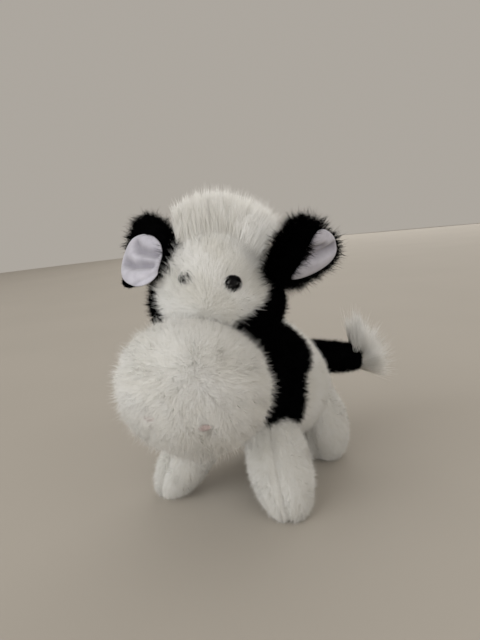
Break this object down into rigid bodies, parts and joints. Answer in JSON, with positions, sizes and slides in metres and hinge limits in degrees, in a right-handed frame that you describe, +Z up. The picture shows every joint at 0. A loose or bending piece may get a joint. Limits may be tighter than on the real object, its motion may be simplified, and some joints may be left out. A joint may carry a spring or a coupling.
{
  "type": "plush cow",
  "caption": "Small standing plush cow, white with black ears, head sides, flank patches and tail, with a big furry muzzle, a fanned forelock and a tufted tail.",
  "frame": {"origin": "on the ground under the middle of the whole toy", "axes": "+Z up, the trunk faces -Y, the cow's left side is +X"},
  "size_m": [0.1118, 0.1922, 0.1638],
  "materials": {
    "white_plush": "off-white short pile plush",
    "black_plush": "black short pile plush",
    "long_pile": "off-white long pile",
    "ear_lining": "pale lilac-white smooth knit",
    "stuffing": "white fibre filling",
    "eye_plastic": "glossy black",
    "washer_plastic": "plain white",
    "nostril_thread": "dusty pink thread"
  },
  "bodies": {
    "body": {"body_panel_left": "white_plush", "body_panel_right": "white_plush", "flank_patch_left": "black_plush", "flank_patch_right": "black_plush", "belly_gusset": "white_plush", "neck_skin": "white_plush", "body_stuffing": "stuffing", "leg_front_left": "white_plush", "leg_front_left_stuffing": "stuffing", "leg_front_right": "white_plush", "leg_front_right_stuffing": "stuffing", "leg_rear_left": "white_plush", "leg_rear_left_stuffing": "stuffing", "leg_rear_right": "white_plush", "leg_rear_right_stuffing": "stuffing"},
    "head": {"face_panel": "white_plush", "head_side_left": "black_plush", "head_side_right": "black_plush", "head_stuffing": "stuffing", "muzzle_skin": "white_plush", "muzzle_stuffing": "stuffing", "nostril_left": "nostril_thread", "nostril_right": "nostril_thread", "eye_left": "eye_plastic", "eye_right": "eye_plastic", "eye_washer_left": "washer_plastic", "eye_washer_right": "washer_plastic", "forelock": "long_pile"},
    "ear_left": {"ear_back_left": "black_plush", "ear_lining_left": "ear_lining"},
    "ear_right": {"ear_back_right": "black_plush", "ear_lining_right": "ear_lining"},
    "tail": {"tail_skin": "black_plush", "tail_stuffing": "stuffing", "tail_tuft": "long_pile"}
  },
  "joints": [
    {"name": "head_turn", "type": "hinge", "parent": "body", "child": "head", "pos_m": [-0.0077, -0.0277, 0.0955], "axis": [0, 0, 1], "range_deg": [-10, 10], "stiffness_Nm_per_rad": 0.2},
    {"name": "ear_left_flop", "type": "hinge", "parent": "head", "child": "ear_left", "pos_m": [0.03343, -0.03065, 0.1192], "axis": [0.3533, -0.9355, 0], "range_deg": [-35, 20], "stiffness_Nm_per_rad": 0.04},
    {"name": "ear_right_flop", "type": "hinge", "parent": "head", "child": "ear_right", "pos_m": [-0.00498, -0.05686, 0.13853], "axis": [0.0258, 0.9997, 0], "range_deg": [-12, 25], "stiffness_Nm_per_rad": 0.04},
    {"name": "tail_swing", "type": "hinge", "parent": "body", "child": "tail", "pos_m": [-0.0077, 0.05775, 0.057], "axis": [0, 0, 1], "range_deg": [-10, 100], "stiffness_Nm_per_rad": 0.01}
  ]
}
